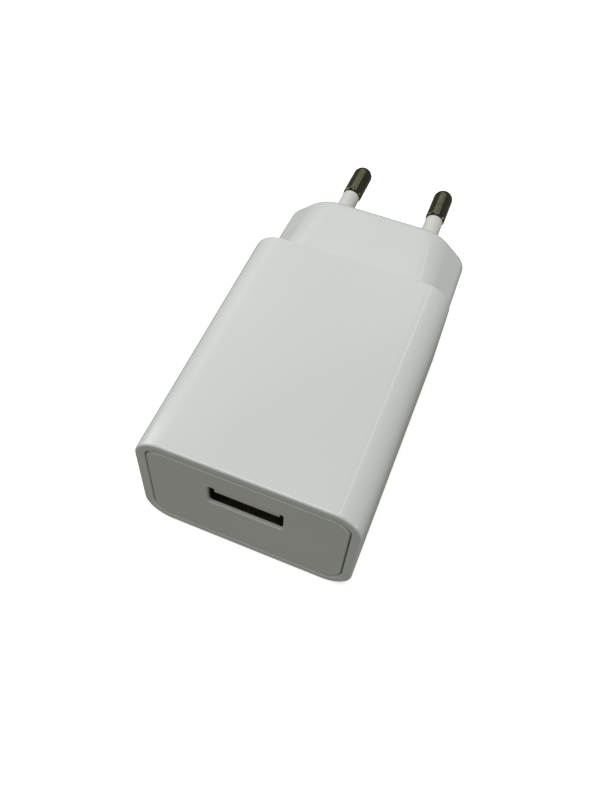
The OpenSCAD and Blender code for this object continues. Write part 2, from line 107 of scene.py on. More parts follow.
pin_mount = mounts["pin_right"]
PIN_R = pin_mount["dims"]["r_mm"]
PIN_TILT = math.asin(abs(pin_mount["axis"][0]))
PIN_PITCH = 18.6
PIN_L = 18.6
PIN_TIP_R = 1.75
PIN_TAIL_L = 7.5
SLEEVE_R = 1.8
SLEEVE_L = 10
CORE_R = 1.45
COLLAR_R = 2.7                    # on the pin and on its sleeve, behind the pin face
COLLAR_T = 1.4


# ---- mesh tools: outlines are lists of (x, z), and meshes are drawn in millimetres ----

def rounded(corners, radii, steps):
    """The closed outline through these corners, each rounded in that many steps."""
    points = []
    for i, corner in enumerate(corners):
        here = Vector(corner)
        before = (Vector(corners[i - 1]) - here).normalized()
        after = (Vector(corners[(i + 1) % len(corners)]) - here).normalized()
        half = before.angle(after) / 2
        middle = (before + after).normalized()
        centre = here + middle * radii[i] / math.sin(half)
        side = Vector((-middle.y, middle.x))
        if side.dot(after) < 0:
            side = -side
        sweep = math.pi / 2 - half
        for k in range(steps + 1):
            turn = -sweep + 2 * sweep * k / steps
            points.append(centre - radii[i] * (middle * math.cos(turn) - side * math.sin(turn)))
    return points


def rect_outline(w, h, r, steps, centre_z=MID_Z):
    corners = [(w / 2, -h / 2), (w / 2, h / 2), (-w / 2, h / 2), (-w / 2, -h / 2)]
    return [p + Vector((0, centre_z)) for p in rounded(corners, [r] * 4, steps)]


def circle_outline(x, r, steps):
    turns = [2 * math.pi * k / steps for k in range(steps)]
    return [Vector((x + r * math.cos(t), MID_Z + r * math.sin(t))) for t in turns]


def add_ring(bm, outline, y):
    return [bm.verts.new((p[0], y, p[1])) for p in outline]


def join_rings(bm, rings, closed=False):
    pairs = list(zip(rings, rings[1:]))
    if closed:
        pairs.append((rings[-1], rings[0]))
    for a, b in pairs:
        count = len(a)
        for i in range(count):
            j = (i + 1) % count
            bm.faces.new((a[i], a[j], b[j], b[i]))


def fill_between(bm, outer, holes):
    """A flat face inside one ring of vertices, with other rings left open as holes."""
    loops = [outer, *holes]
    flat = [vertex for loop in loops for vertex in loop]
    for triangle in tessellate_polygon([[v.co for v in loop] for loop in loops]):
        bm.faces.new([flat[i] for i in triangle])


def chamfer():
    """(share along, share in) of a flat chamfer with eased corners, from the side to the face."""
    return [(0, 0), (0.14, 0.08), (0.92, 0.86), (1, 1)]


def quarter_round(steps):
    """(share along, share in) of a quarter circle, from its far end to the face that it rounds."""
    turns = [math.pi / 2 * k / steps for k in range(steps + 1)]
    return [(math.sin(t), 1 - math.cos(t)) for t in turns]


def turned(bm, profile, place, steps=96):
    """A shape turned on a lathe: the profile is (radius, height) and place puts its Z axis."""
    rings = []
    for r, z in profile:
        if r < 1e-6:
            rings.append([bm.verts.new(place @ Vector((0, 0, z)))])
            continue
        turns = [2 * math.pi * k / steps for k in range(steps)]
        rings.append([bm.verts.new(place @ Vector((r * math.cos(t), r * math.sin(t), z))) for t in turns])
    for a, b in zip(rings, rings[1:]):
        for i in range(steps):
            j = (i + 1) % steps
            corners = [a[i % len(a)], a[j % len(a)], b[j % len(b)], b[i % len(b)]]
            bm.faces.new(list(dict.fromkeys(corners)))
    return rings


def arc(centre, r, start, end, steps):
    """Points of an arc, with its angles in degrees."""
    turns = [math.radians(start + (end - start) * k / steps) for k in range(steps + 1)]
    return [(centre[0] + r * math.cos(t), centre[1] + r * math.sin(t)) for t in turns]


def block(bm, low, high):
    made = bmesh.ops.create_cube(bm, size=1)["verts"]
    size = Vector(high) - Vector(low)
    middle = (Vector(high) + Vector(low)) / 2
    for vertex in made:
        vertex.co = Vector([vertex.co[k] * size[k] + middle[k] for k in range(3)])
    return made


def to_mesh(name, bm, sharp_deg=35):
    """Closes a drawing into a mesh in metres, smooth except over its sharp edges."""
    bmesh.ops.remove_doubles(bm, verts=bm.verts, dist=1e-5)
    bmesh.ops.recalc_face_normals(bm, faces=bm.faces)
    bmesh.ops.scale(bm, vec=(MM, MM, MM), verts=bm.verts)
    mesh = bpy.data.meshes.new(name)
    bm.to_mesh(mesh)
    bm.free()
    for face in mesh.polygons:
        face.use_smooth = True
    mesh.set_sharp_from_angle(angle=math.radians(sharp_deg))
    return mesh


def add_object(name, mesh):
    made = bpy.data.objects.new(name, mesh)
    bpy.context.scene.collection.objects.link(made)
    return made


def applied(thing):
    """The same piece with its modifiers made part of the mesh."""
    bpy.context.view_layer.update()
    shaped = thing.evaluated_get(bpy.context.evaluated_depsgraph_get())
    mesh = bpy.data.meshes.new_from_object(shaped)
    thing.modifiers.clear()
    thing.data = mesh
    return thing


def cut_with(thing, cutter_bm, operation):
    """Cuts a drawn shape out of a piece, or joins it on."""
    cutter = add_object("cutter", to_mesh("cutter", cutter_bm))
    change = thing.modifiers.new("cut", "BOOLEAN")
    change.object = cutter
    change.operation = operation
    change.solver = "EXACT"
    applied(thing)
    thing.data.set_sharp_from_angle(angle=math.radians(35))
    bpy.data.objects.remove(cutter)


def softened(node, edge):
    """A copy of a CAD node with its sharp edges rounded by that many millimetres."""
    bm = bmesh.new()
    bm.from_mesh(frame["nodes"][node].data)
    bmesh.ops.remove_doubles(bm, verts=bm.verts, dist=2e-6)
    bmesh.ops.dissolve_limit(bm, angle_limit=math.radians(1), verts=bm.verts, edges=bm.edges)
    mesh = bpy.data.meshes.new(f"{node}_softened")
    bm.to_mesh(mesh)
    bm.free()
    for face in mesh.polygons:
        face.use_smooth = True
    mesh.set_sharp_from_angle(angle=math.radians(35))
    thing = add_object(f"{node}_softened", mesh)
    bevel = thing.modifiers.new("edges", "BEVEL")
    bevel.width = edge * MM
    bevel.segments = 2
    bevel.limit_method = "ANGLE"
    bevel.angle_limit = math.radians(35)
    bevel.use_clamp_overlap = True
    normals = thing.modifiers.new("flats", "WEIGHTED_NORMAL")
    normals.keep_sharp = True
    return applied(thing)


def wire(bm, points, r, bend=0.0, sides=16):
    """A round wire along these points, with each corner taken round a bend."""
    path = [Vector(p) for p in points]
    line = [path[0]]
    for before, here, after in zip(path, path[1:], path[2:]):
        start = here + (before - here).normalized() * bend
        end = here + (after - here).normalized() * bend
        for k in range(7):
            t = k / 6
            line.append(start.lerp(here, t).lerp(here.lerp(end, t), t))
    line.append(path[-1])
    rings = []
    for i, point in enumerate(line):
        along = (line[min(i + 1, len(line) - 1)] - line[max(i - 1, 0)]).normalized()
        across = along.orthogonal() if not rings else (across - along * across.dot(along))
        across.normalize()
        other = along.cross(across)
        turns = [2 * math.pi * k / sides for k in range(sides)]
        rings.append([bm.verts.new(point + r * (across * math.cos(t) + other * math.sin(t))) for t in turns])
    join_rings(bm, rings)
    bm.faces.new(rings[0])
    bm.faces.new(rings[-1])


def new_tree(name, sockets):
    """A Geometry Nodes tree with these named inputs; returns it and its input node."""
    tree = bpy.data.node_groups.new(name, "GeometryNodeTree")
    tree.interface.new_socket("Geometry", in_out="INPUT", socket_type="NodeSocketGeometry")
    for label, kind in sockets:
        tree.interface.new_socket(label, in_out="INPUT", socket_type=f"NodeSocket{kind}")
    tree.interface.new_socket("Geometry", in_out="OUTPUT", socket_type="NodeSocketGeometry")
    return tree, tree.nodes.new("NodeGroupInput")


def end_tree(tree, instances, material):
    """Ends a tree in plain geometry that has its material."""
    plain = add(tree, "GeometryNodeRealizeInstances", {"Geometry": instances})
    inputs = {"Geometry": plain.outputs["Geometry"], "Material": material}
    made = add(tree, "GeometryNodeSetMaterial", inputs)
    add(tree, "NodeGroupOutput", {"Geometry": made.outputs["Geometry"]})


def grown(thing, tree, values):
    """Runs a tree on a piece with these named values and keeps what it makes as the mesh."""
    change = thing.modifiers.new(tree.name, "NODES")
    change.node_group = tree
    for socket in tree.interface.items_tree:
        if socket.in_out == "INPUT" and socket.name in values:
            change[socket.identifier] = values[socket.name]
    return applied(thing)


def turns_tree():
    """Turns of round wire laid side by side along Y, each a rounded rectangle of wire."""
    sockets = (("Turns", "Int"), ("Pitch", "Float"), ("Width", "Float"), ("Height", "Float"),
               ("Corner", "Float"), ("Wire Radius", "Float"), ("Start", "Vector"), ("Material", "Material"))
    tree, given = new_tree("turns of wire", sockets)
    inputs = {"Width": given.outputs["Width"], "Height": given.outputs["Height"]}
    path = add(tree, "GeometryNodeCurvePrimitiveQuadrilateral", inputs)
    inputs = {"Curve": path.outputs["Curve"], "Radius": given.outputs["Corner"], "Count": 6}
    bent = add(tree, "GeometryNodeFilletCurve", inputs, mode="POLY")
    section = add(tree, "GeometryNodeCurvePrimitiveCircle",
                  {"Resolution": 12, "Radius": given.outputs["Wire Radius"]})
    inputs = {"Curve": bent.outputs["Curve"], "Profile Curve": section.outputs["Curve"]}
    turn = add(tree, "GeometryNodeCurveToMesh", inputs)
    inputs = {"Geometry": turn.outputs["Mesh"], "Rotation": (math.pi / 2, 0, 0)}
    upright = add(tree, "GeometryNodeTransform", inputs)
    step = add(tree, "ShaderNodeCombineXYZ", {"Y": given.outputs["Pitch"]})
    inputs = {"Count": given.outputs["Turns"], "Start Location": given.outputs["Start"],
              "Offset": step.outputs["Vector"]}
    centres = add(tree, "GeometryNodeMeshLine", inputs)
    inputs = {"Points": centres.outputs["Mesh"], "Instance": upright.outputs["Geometry"]}
    coil = add(tree, "GeometryNodeInstanceOnPoints", inputs)
    end_tree(tree, coil.outputs["Instances"], given.outputs["Material"])
    return tree


def on_points_tree():
    """One drawn shape put at every point of a piece."""
    sockets = (("Shape", "Object"), ("Size", "Float"), ("Material", "Material"))
    tree, given = new_tree("shape on points", sockets)
    shape = add(tree, "GeometryNodeObjectInfo", {"Object": given.outputs["Shape"]})
    inputs = {"Points": given.outputs["Geometry"], "Instance": shape.outputs["Geometry"],
              "Scale": given.outputs["Size"]}
    spread = add(tree, "GeometryNodeInstanceOnPoints", inputs)
    end_tree(tree, spread.outputs["Instances"], given.outputs["Material"])
    return tree


def fit_piece(thing, materials, nodes, body="charger"):
    """Gives a finished piece its materials and its place in the charger."""
    for material in materials:
        thing.data.materials.append(material)
    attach(thing, body)
    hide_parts(*nodes)


# ---- material tools ----

def colour(code):
    """An sRGB hex colour, as the linear values that a shader takes."""
    parts = [int(code[k:k + 2], 16) / 255 for k in (1, 3, 5)]
    linear = [p / 12.92 if p <= 0.04045 else ((p + 0.055) / 1.055) ** 2.4 for p in parts]
    return (*linear, 1)


def add(tree, kind, inputs=None, **settings):
    """Adds a node: settings are its options, and inputs are socket values or what feeds them."""
    made = tree.nodes.new(kind)
    for name, value in settings.items():
        setattr(made, name, value)
    for name, value in (inputs or {}).items():
        if isinstance(value, bpy.types.NodeSocket):
            tree.links.new(value, made.inputs[name])
        else:
            made.inputs[name].default_value = value
    return made


def per_mm(size):
    """The pattern scale that makes one cell of a pattern this many millimetres."""
    return 1 / (size * MM)


def new_material(name):
    material = bpy.data.materials.new(name)
    material.use_nodes = True
    material.node_tree.nodes.clear()
    return material, material.node_tree


def close_material(tree, shader_inputs):
    shader = add(tree, "ShaderNodeBsdfPrincipled", shader_inputs)
    add(tree, "ShaderNodeOutputMaterial", {"Surface": shader.outputs["BSDF"]})


def speckle(tree, size, detail=2.0, stretch=(1, 1, 1)):
    """Cloudy noise whose blotches are about size millimetres across, drawn out by stretch."""
    place = add(tree, "ShaderNodeTexCoord").outputs["Object"]
    turned_place = add(tree, "ShaderNodeMapping", {"Vector": place, "Scale": stretch})
    inputs = {"Vector": turned_place.outputs["Vector"], "Scale": per_mm(size), "Detail": detail}
    return add(tree, "ShaderNodeTexNoise", inputs).outputs["Fac"]


def between(tree, share, low, high):
    """A value that moves from low to high as share goes from 0 to 1."""
    inputs = {"Value": share, "To Min": low, "To Max": high}
    return add(tree, "ShaderNodeMapRange", inputs).outputs["Result"]


def blended(tree, share, stops):
    """A colour that runs through the stops, each a place from 0 to 1 and a hex colour."""
    ramp = add(tree, "ShaderNodeValToRGB", {"Fac": share})
    points = ramp.color_ramp.elements
    while len(points) < len(stops):
        points.new(0.5)
    for point, (where, code) in zip(points, stops):
        point.position = where
        point.color = colour(code)
    return ramp.outputs["Color"]


def bumps(tree, layers):
    """A normal from several bumps, each a height pattern and how deep it is in millimetres."""
    normal = None
    for height, depth in layers:
        inputs = {"Height": height, "Distance": depth * MM, "Strength": 1.0}
        if normal is not None:
            inputs["Normal"] = normal
        normal = add(tree, "ShaderNodeBump", inputs).outputs["Normal"]
    return normal


def one_pattern(name, pattern, codes, gloss, depth, more=None):
    """A material with one noise in its colour, roughness and height. more is its other inputs."""
    material, tree = new_material(name)
    noise = speckle(tree, *pattern)
    inputs = {
        "Base Color": blended(tree, noise, [(0.3, codes[0]), (0.7, codes[1])]),
        "Roughness": between(tree, noise, *gloss),
        "Normal": bumps(tree, [(noise, depth)]),
    }
    close_material(tree, inputs | (more or {}))
    return material


# ---- materials of the outside ----

def case_plastic():
    """White ABS, injection moulded in a polished tool: glossy, with a faint long flow wave."""
    material, tree = new_material("glossy white moulded ABS")
    wave = speckle(tree, 18, 1.0, (1, 0.45, 1))
    skin = speckle(tree, 0.5, 3.0)
    close_material(tree, {
        "Base Color": blended(tree, wave, [(0.3, "#E4E7E6"), (0.7, "#E7EAE9")]),
        "Roughness": between(tree, skin, 0.13, 0.19),
        "IOR": 1.53,
        "Normal": bumps(tree, [(wave, 0.05), (skin, 0.0006)]),
    })
    return material


def panel_plastic():
    """The same ABS from a second tool with a finer polish mark: a touch less glossy."""
    material, tree = new_material("satin white moulded ABS")
    wave = speckle(tree, 14, 1.0)
    skin = speckle(tree, 0.35, 3.0)
    close_material(tree, {
        "Base Color": blended(tree, wave, [(0.3, "#DEE0DB"), (0.7, "#E2E4DF")]),
        "Roughness": between(tree, skin, 0.26, 0.31),
        "IOR": 1.53,
        "Normal": bumps(tree, [(wave, 0.02)]),
    })
    return material


def sleeve_plastic():
    """White nylon moulded over the pins: half matt, a little milky, with fine draw lines."""
    material, tree = new_material("milky white moulded nylon")
    cloud = speckle(tree, 3, 2.0)
    lines = speckle(tree, 0.25, 2.0, (1, 0.06, 1))
    close_material(tree, {
        "Base Color": blended(tree, cloud, [(0.3, "#E3E3DE"), (0.7, "#E9E9E5")]),
        "Roughness": between(tree, lines, 0.3, 0.42),
        "IOR": 1.53,
        "Subsurface Weight": 0.15,
        "Subsurface Radius": (1.0, 0.95, 0.85),
        "Subsurface Scale": 0.7 * MM,
        "Normal": bumps(tree, [(lines, 0.002)]),
    })
    return material


def pin_metal():
    """Nickel on brass, turned and plated: a warm grey mirror with marks along the pin, its base colour
    darkened as a painted reflection of dark surroundings.
    """
    material, tree = new_material("nickel plated turned brass darkened as painted reflection")
    cloud = speckle(tree, 1.6, 3.0)
    marks = speckle(tree, 0.12, 2.0, (1, 0.05, 1))
    close_material(tree, {
        # base colour well below bare nickel: painted dark reflection, standing in for the shade the pins
        # mirror
        "Base Color": blended(tree, cloud, [(0.25, "#5A5948"), (0.75, "#6E6C5A")]),
        "Metallic": 1.0,
        "Roughness": between(tree, marks, 0.12, 0.22),
        "Normal": bumps(tree, [(marks, 0.002)]),
    })
    return material


def shell_steel():
    """Stamped steel plated with nickel, with a faint rolling grain along the sheet; its grey is darkened as
    painted shade for the hollow of the port.
    """
    material, tree = new_material("nickel plated stamped steel darkened as painted shade")
    grain = speckle(tree, 0.2, 3.0, (1, 0.1, 1))
    cloud = speckle(tree, 2.5, 2.0)
    close_material(tree, {
        # dark grey well below bare nickel: painted shade standing in for the shadow inside the port
        "Base Color": blended(tree, cloud, [(0.3, "#5A5B59"), (0.7, "#6A6B68")]),
        "Metallic": 1.0,
        "Roughness": between(tree, grain, 0.22, 0.36),
        "Normal": bumps(tree, [(grain, 0.002)]),
    })
    return material


def socket_plastic():
    """White glass filled polyester of the socket: half matt, with a fine fibre mottle."""
    return one_pattern("white glass filled polyester", (0.3, 3.0, (1, 0.3, 1)),
                       ("#E2E3DE", "#EAEBE7"), (0.38, 0.5), 0.002, {"IOR": 1.57})


def contact_gold():
    """Thin gold on phosphor bronze: warm yellow, with fine stamping marks along the finger."""
    return one_pattern("gold plated phosphor bronze", (0.1, 2.0, (1, 0.08, 1)),
                       ("#D2A84C", "#DDB65E"), (0.2, 0.3), 0.001, {"Metallic": 1.0})


# ---- materials of the inside ----

def retainer_plastic():
    """Natural polycarbonate, moulded: half matt, slightly cream."""
    return one_pattern("natural moulded polycarbonate", (2.5, 3.0),
                       ("#D9D8CE", "#E0DFD6"), (0.36, 0.46), 0.004, {"IOR": 1.58})


def contact_spring():
    """Stamped brass leaf: bright yellow metal with rolling marks and a little tarnish."""
    material, tree = new_material("stamped brass leaf")
    grain = speckle(tree, 0.15, 2.0, (1, 0.08, 1))
    tarnish = speckle(tree, 2, 3.0)
    close_material(tree, {
        "Base Color": blended(tree, tarnish, [(0.3, "#B08A45"), (0.7, "#CBA75C")]),
        "Metallic": 1.0,
        "Roughness": between(tree, grain, 0.24, 0.4),
        "Normal": bumps(tree, [(grain, 0.002)]),
    })
    return material


def board_laminate():
    """Glass epoxy under green solder mask: areas of copper, with dark lines between them."""
    material, tree = new_material("glass epoxy with green solder mask")
    place = add(tree, "ShaderNodeTexCoord").outputs["Object"]
    flat = add(tree, "ShaderNodeMapping", {"Vector": place, "Scale": (1, 1, 0.001)})
    cells = add(tree, "ShaderNodeTexVoronoi", {"Vector": flat.outputs["Vector"], "Scale": per_mm(5)},
                feature="DISTANCE_TO_EDGE")
    inputs = {0: cells.outputs["Distance"], 1: 0.04}
    track = add(tree, "ShaderNodeMath", inputs, operation="GREATER_THAN").outputs["Value"]
    weave = speckle(tree, 0.4, 2.0)
    close_material(tree, {
        "Base Color": blended(tree, track, [(0.0, "#1F5B38"), (1.0, "#2C7A4B")]),
        "Roughness": between(tree, weave, 0.28, 0.42),
        "IOR": 1.55,
        "Normal": bumps(tree, [(track, 0.03), (weave, 0.002)]),
    })
    return material


def bare_laminate():
    """The cut edge of the board: straw coloured glass epoxy, matt, with its layers of cloth."""
    return one_pattern("cut glass epoxy edge", (0.2, 3.0, (0.2, 0.2, 1)),
                       ("#A79C66", "#BBB07A"), (0.6, 0.75), 0.004, {"IOR": 1.55})


def resistor_coat():
    """Flameproof lacquer on a wound fuse resistor: dull grey green, slightly pebbled."""
    return one_pattern("grey green flameproof lacquer", (0.3, 3.0),
                       ("#5F8577", "#6F9486"), (0.45, 0.6), 0.01)


def disc_coat():
    """Blue epoxy dip over a ceramic disc: glossy and a little uneven, as it ran before it set."""
    return one_pattern("blue dipped epoxy", (1.5, 2.0),
                       ("#1F4C8C", "#2A5C9E"), (0.2, 0.34), 0.03, {"IOR": 1.55})


def ferrite():
    """Sintered manganese zinc ferrite: matt near black with fine grey grain of about 0.2 mm."""
    material, tree = new_material("sintered ferrite")
    grain = speckle(tree, 0.2, 4.0)
    close_material(tree, {
        "Base Color": blended(tree, grain, [(0.35, "#2B2B2C"), (0.7, "#3D3D3E")]),
        "Roughness": between(tree, grain, 0.55, 0.75),
        "Normal": bumps(tree, [(grain, 0.008)]),
    })
    return material


def chip_plastic():
    """Black moulding compound: matt, from the spark eroded tool that chips are moulded in."""
    return one_pattern("black epoxy moulding compound", (0.12, 3.0),
                       ("#1B1B1C", "#242425"), (0.5, 0.65), 0.006)


def capacitor_can():
    """Black PVC sleeve shrunk on a can: smooth and half glossy, with fine shrink ripples."""
    return one_pattern("black shrunk PVC sleeve", (1.2, 2.0, (1, 0.3, 1)),
                       ("#1A1C20", "#22252A"), (0.28, 0.4), 0.01, {"IOR": 1.53})


def bare_aluminium():
    """Drawn aluminium of a capacitor's end: pale grey metal with soft turning marks."""
    return one_pattern("drawn aluminium", (0.2, 3.0),
                       ("#BFC0C1", "#CDCECF"), (0.25, 0.38), 0.002, {"Metallic": 1.0})


def bobbin_plastic():
    """Moulded phenolic bobbin: warm cream and matt, with a cloudy filler."""
    return one_pattern("cream moulded phenolic", (0.9, 3.0),
                       ("#C8BE9E", "#D3CBAD"), (0.42, 0.55), 0.005)


def tinned_wire():
    """Hot tinned copper: soft grey metal, dulled in patches where the tin is thin."""
    return one_pattern("hot tinned copper", (0.5, 3.0),
                       ("#A9AAA9", "#C6C7C6"), (0.22, 0.4), 0.006, {"Metallic": 1.0})


def copper_wire():
    """Enamelled copper: bright orange red metal under clear varnish."""
    material, tree = new_material("enamelled copper")
    varnish = speckle(tree, 0.6, 2.0)
    close_material(tree, {
        "Base Color": blended(tree, varnish, [(0.3, "#A85528"), (0.7, "#C06A38")]),
        "Metallic": 1.0,
        "Roughness": between(tree, varnish, 0.22, 0.34),
        "Coat Weight": 0.5,
        "Coat Roughness": 0.1,
    })
    return material


def tin_solder():
    """Tin solder, frozen: bright smooth metal, with a faint frosted grain where it set last."""
    return one_pattern("frozen tin solder", (0.3, 3.0),
                       ("#C4C5C4", "#D6D7D6"), (0.14, 0.34), 0.008, {"Metallic": 1.0})


def coil_tape():
    """Yellow polyester tape round the coil: glossy film, with the soft waves of the turns below."""
    return one_pattern("yellow polyester tape", (0.6, 2.0, (0.4, 1, 0.4)),
                       ("#D8B021", "#E6C236"), (0.18, 0.3), 0.02, {"IOR": 1.6})


def chip_ceramic():
    """Fired barium titanate of a chip part: matt tan with fine dark flecks."""
    return one_pattern("fired tan ceramic", (0.1, 3.0),
                       ("#A28562", "#B79B78"), (0.4, 0.55), 0.003)


def barrier_film():
    """Polyester barrier sheet: pale yellow milky film, slightly waved."""
    return one_pattern("pale polyester barrier film", (3, 2.0),
                       ("#D5D2AC", "#DEDBBA"), (0.25, 0.38), 0.02, {"IOR": 1.6})


# ---- case ----

def add_snaps(bm, grow):
    """The catches on the panel's skirt, each a square bar on edge; grown, their pockets."""
    half = Vector((SNAP_L + 2 * grow, SNAP_D + grow, SNAP_D + grow)) / 2
    for side in (-1, 1):
        bar = block(bm, -half, half)
        place = Matrix.Translation((0, FRONT + SNAP_Y, MID_Z + side * PANEL_H / 2))
        bmesh.ops.transform(bm, matrix=place @ Matrix.Rotation(math.pi / 4, 4, "X"), verts=bar)


def add_rails(bm, wall):
    """Ribs on both side walls, above and below the board, that hold its edges."""
    inner = CASE_W / 2 - wall
    root = 0.5                     # how far a rail runs into the wall
    for side in (-1, 1):
        x = sorted((side * (inner - RAIL_T), side * (inner + root)))
        for z in (board_high.z + RAIL_GAP, board_low.z - RAIL_GAP - RAIL_H):
            block(bm, (x[0], FRONT + RAIL_Y[0], z), (x[1], FRONT + RAIL_Y[1], z + RAIL_H))


def case_outline(inset, steps):
    return rect_outline(CASE_W - 2 * inset, CASE_H - 2 * inset, CASE_R - inset, 2 * steps + 1)


def nose_outline(along, inset=0.0, corner=0.0, edge=0.0, steps=11):
    """The eight-sided section of the nose at a share of its length. corner and edge pull it in."""
    slope = math.atan((NOSE_H - NOSE_SIDE_H) / (NOSE_W[0] - NOSE_FLAT[0]))
    wide = (NOSE_W[0] + (NOSE_W[1] - NOSE_W[0]) * along) / 2 - corner - inset
    flat = (NOSE_FLAT[0] + (NOSE_FLAT[1] - NOSE_FLAT[0]) * along) / 2 - corner / 2
    flat -= inset * math.tan(slope / 2)
    side = NOSE_SIDE_H / 2 - inset * math.tan((math.pi / 2 - slope) / 2)
    high = NOSE_H / 2 - edge - inset
    corners = [(wide, -side), (wide, side), (flat, high), (-flat, high),
               (-wide, side), (-wide, -side), (-flat, -high), (flat, -high)]
    crease = NOSE_CREASE_R[0] + (NOSE_CREASE_R[1] - NOSE_CREASE_R[0]) * along - inset
    radii = [NOSE_SIDE_R - inset] * 2 + [crease] * 2
    points = rounded(corners, radii + radii, steps)
    shift = steps + 1              # starts at the lower right crease, as the case's outline does
    points = points[-shift:] + points[:-shift]
    return [p + Vector((0, MID_Z)) for p in points]


def housing():
    """The moulded case and nose, one shell from the rim around the front panel to the pin holes."""
    bm = bmesh.new()
    steps = 11
    wall = (CASE_W - PANEL_W) / 2 - PANEL_GAP
    rim_r = 0.4                    # outside edge of the rim
    seam = 0.3                     # chamfer on the inside edge of the rim
    back_r = 0.14
    rings = []

    def ring(outline, y):
        rings.append(add_ring(bm, outline, y))

    ring(case_outline(wall, steps), FRONT + 2 * seam)
    for along, inward in chamfer():
        ring(case_outline(wall - seam * inward, steps), FRONT + seam * (1 - along))
    ring(case_outline(wall - seam - 0.05, steps), FRONT)
    ring(case_outline(rim_r + 0.05, steps), FRONT)
    for along, inward in reversed(quarter_round(8)):
        ring(case_outline(rim_r * inward, steps), FRONT + rim_r * (1 - along))
    ring(case_outline(0, steps), FRONT + 2 * rim_r)
    ring(case_outline(0, steps), STEP - 2 * back_r)
    for along, inward in quarter_round(5):
        ring(case_outline(back_r * inward, steps), STEP - back_r * (1 - along))
    length = PIN_FACE - STEP
    straight = 1 - NOSE_EDGE_R / length
    for share in (0, 0.02, 0.25, 0.5, 0.75):
        ring(nose_outline(share * straight), STEP + share * straight * length)
    for along, inward in quarter_round(12):
        y = PIN_FACE - NOSE_EDGE_R * (1 - along)
        ring(nose_outline((y - STEP) / length, 0, NOSE_CORNER_R * inward, NOSE_EDGE_R * inward), y)
    ring(nose_outline(1, 0, NOSE_CORNER_R + 0.1, NOSE_EDGE_R + 0.1), PIN_FACE)
    face = rings[-1]

    inside = [add_ring(bm, case_outline(wall, steps), STEP - STEP_WALL),
              add_ring(bm, nose_outline(1, NOSE_WALL), STEP - STEP_WALL),
              add_ring(bm, nose_outline(1, NOSE_WALL), PIN_FACE - PIN_WALL)]
    join_rings(bm, rings)
    join_rings(bm, [rings[0]] + inside)

    hole_r = SLEEVE_R + 0.02
    hole_edge = 0.12
    outer_holes, inner_holes = [], []
    for side in (-1, 1):
        lip = [add_ring(bm, circle_outline(side * PIN_PITCH / 2, hole_r + hole_edge * inward, 48),
                        PIN_FACE - hole_edge * (1 - along)) for along, inward in quarter_round(3)]
        lean = PIN_WALL * math.tan(PIN_TILT)
        deep = add_ring(bm, circle_outline(side * (PIN_PITCH / 2 + lean), hole_r, 48),
                        PIN_FACE - PIN_WALL)
        join_rings(bm, [deep] + lip)
        outer_holes.append(lip[-1])
        inner_holes.append(deep)
    fill_between(bm, face, outer_holes)
    fill_between(bm, inside[-1], inner_holes)

    shell = add_object("case_shell", to_mesh("case_shell", bm))
    rails = bmesh.new()
    add_rails(rails, wall)
    cut_with(shell, rails, "UNION")
    pockets = bmesh.new()
    add_snaps(pockets, SNAP_GAP)
    cut_with(shell, pockets, "DIFFERENCE")
    return shell


def build_case(materials):
    fit_piece(housing(), [materials["case_plastic"]], ["housing"])


# ---- front panel ----

def front_panel():
    """The panel with its port and skirt, its outer edge and the port's edge rounded."""
    bm = bmesh.new()
    steps = 12
    edge = 0.38                    # chamfer around the panel
    lead_r = 0.12

    def panel(inset, y):
        inset += PANEL_FIT
        return add_ring(bm, rect_outline(PANEL_W - 2 * inset, PANEL_H - 2 * inset,
                                         PANEL_R - inset, steps), y)

    def port(grow, y):
        return add_ring(bm, rect_outline(PORT_W + 2 * grow, PORT_H + 2 * grow, PORT_R + grow,
                                         steps, PORT_Z), y)

    pocket_x, pocket_z = 0.2, 0.35    # room around the socket's shell, behind the lip
    pocket = rect_outline(PORT_W + 2 * pocket_x, PORT_H + 2 * pocket_z, PORT_R + 0.3, steps, PORT_Z)
    rings = [add_ring(bm, pocket, FRONT + PANEL_T), add_ring(bm, pocket, FRONT + LIP_T)]
    rings += [port(0, FRONT + LIP_T)]
    rings += [port(lead_r * inward, FRONT + lead_r * (1 - along)) for along, inward in quarter_round(4)]
    rings += [port(lead_r + 0.05, FRONT), panel(edge + 0.05, FRONT)]
    rings += [panel(edge * inward, FRONT + edge * (1 - along)) for along, inward in reversed(chamfer())]
    rings += [panel(0, FRONT + 2 * edge), panel(0, FRONT + SKIRT_L)]
    rings += [panel(SKIRT_T, FRONT + SKIRT_L), panel(SKIRT_T, FRONT + PANEL_T)]
    join_rings(bm, rings, closed=True)
    made = add_object("port_panel", to_mesh("port_panel", bm))
    snaps = bmesh.new()
    add_snaps(snaps, 0)
    cut_with(made, snaps, "UNION")
    notch = bmesh.new()
    end_gap, flat_gap, notch_end = 0.3, 0.2, FRONT + 9
    block(notch, (-PANEL_W, board_low.y - end_gap, board_low.z - flat_gap),
          (PANEL_W, notch_end, board_high.z + flat_gap))
    cut_with(made, notch, "DIFFERENCE")
    return made


def build_panel(materials):
    fit_piece(front_panel(), [materials["panel_plastic"]], ["front_panel"])


# ---- pins ----

def pin_place(side):
    """Where a pin starts on the pin face; its own Z runs out to the tip."""
    start = Matrix.Translation((side * PIN_PITCH / 2, PIN_FACE, MID_Z))
    lean = Matrix.Rotation(side * PIN_TILT, 4, "Z")
    return start @ lean @ Matrix.Rotation(-math.pi / 2, 4, "X")


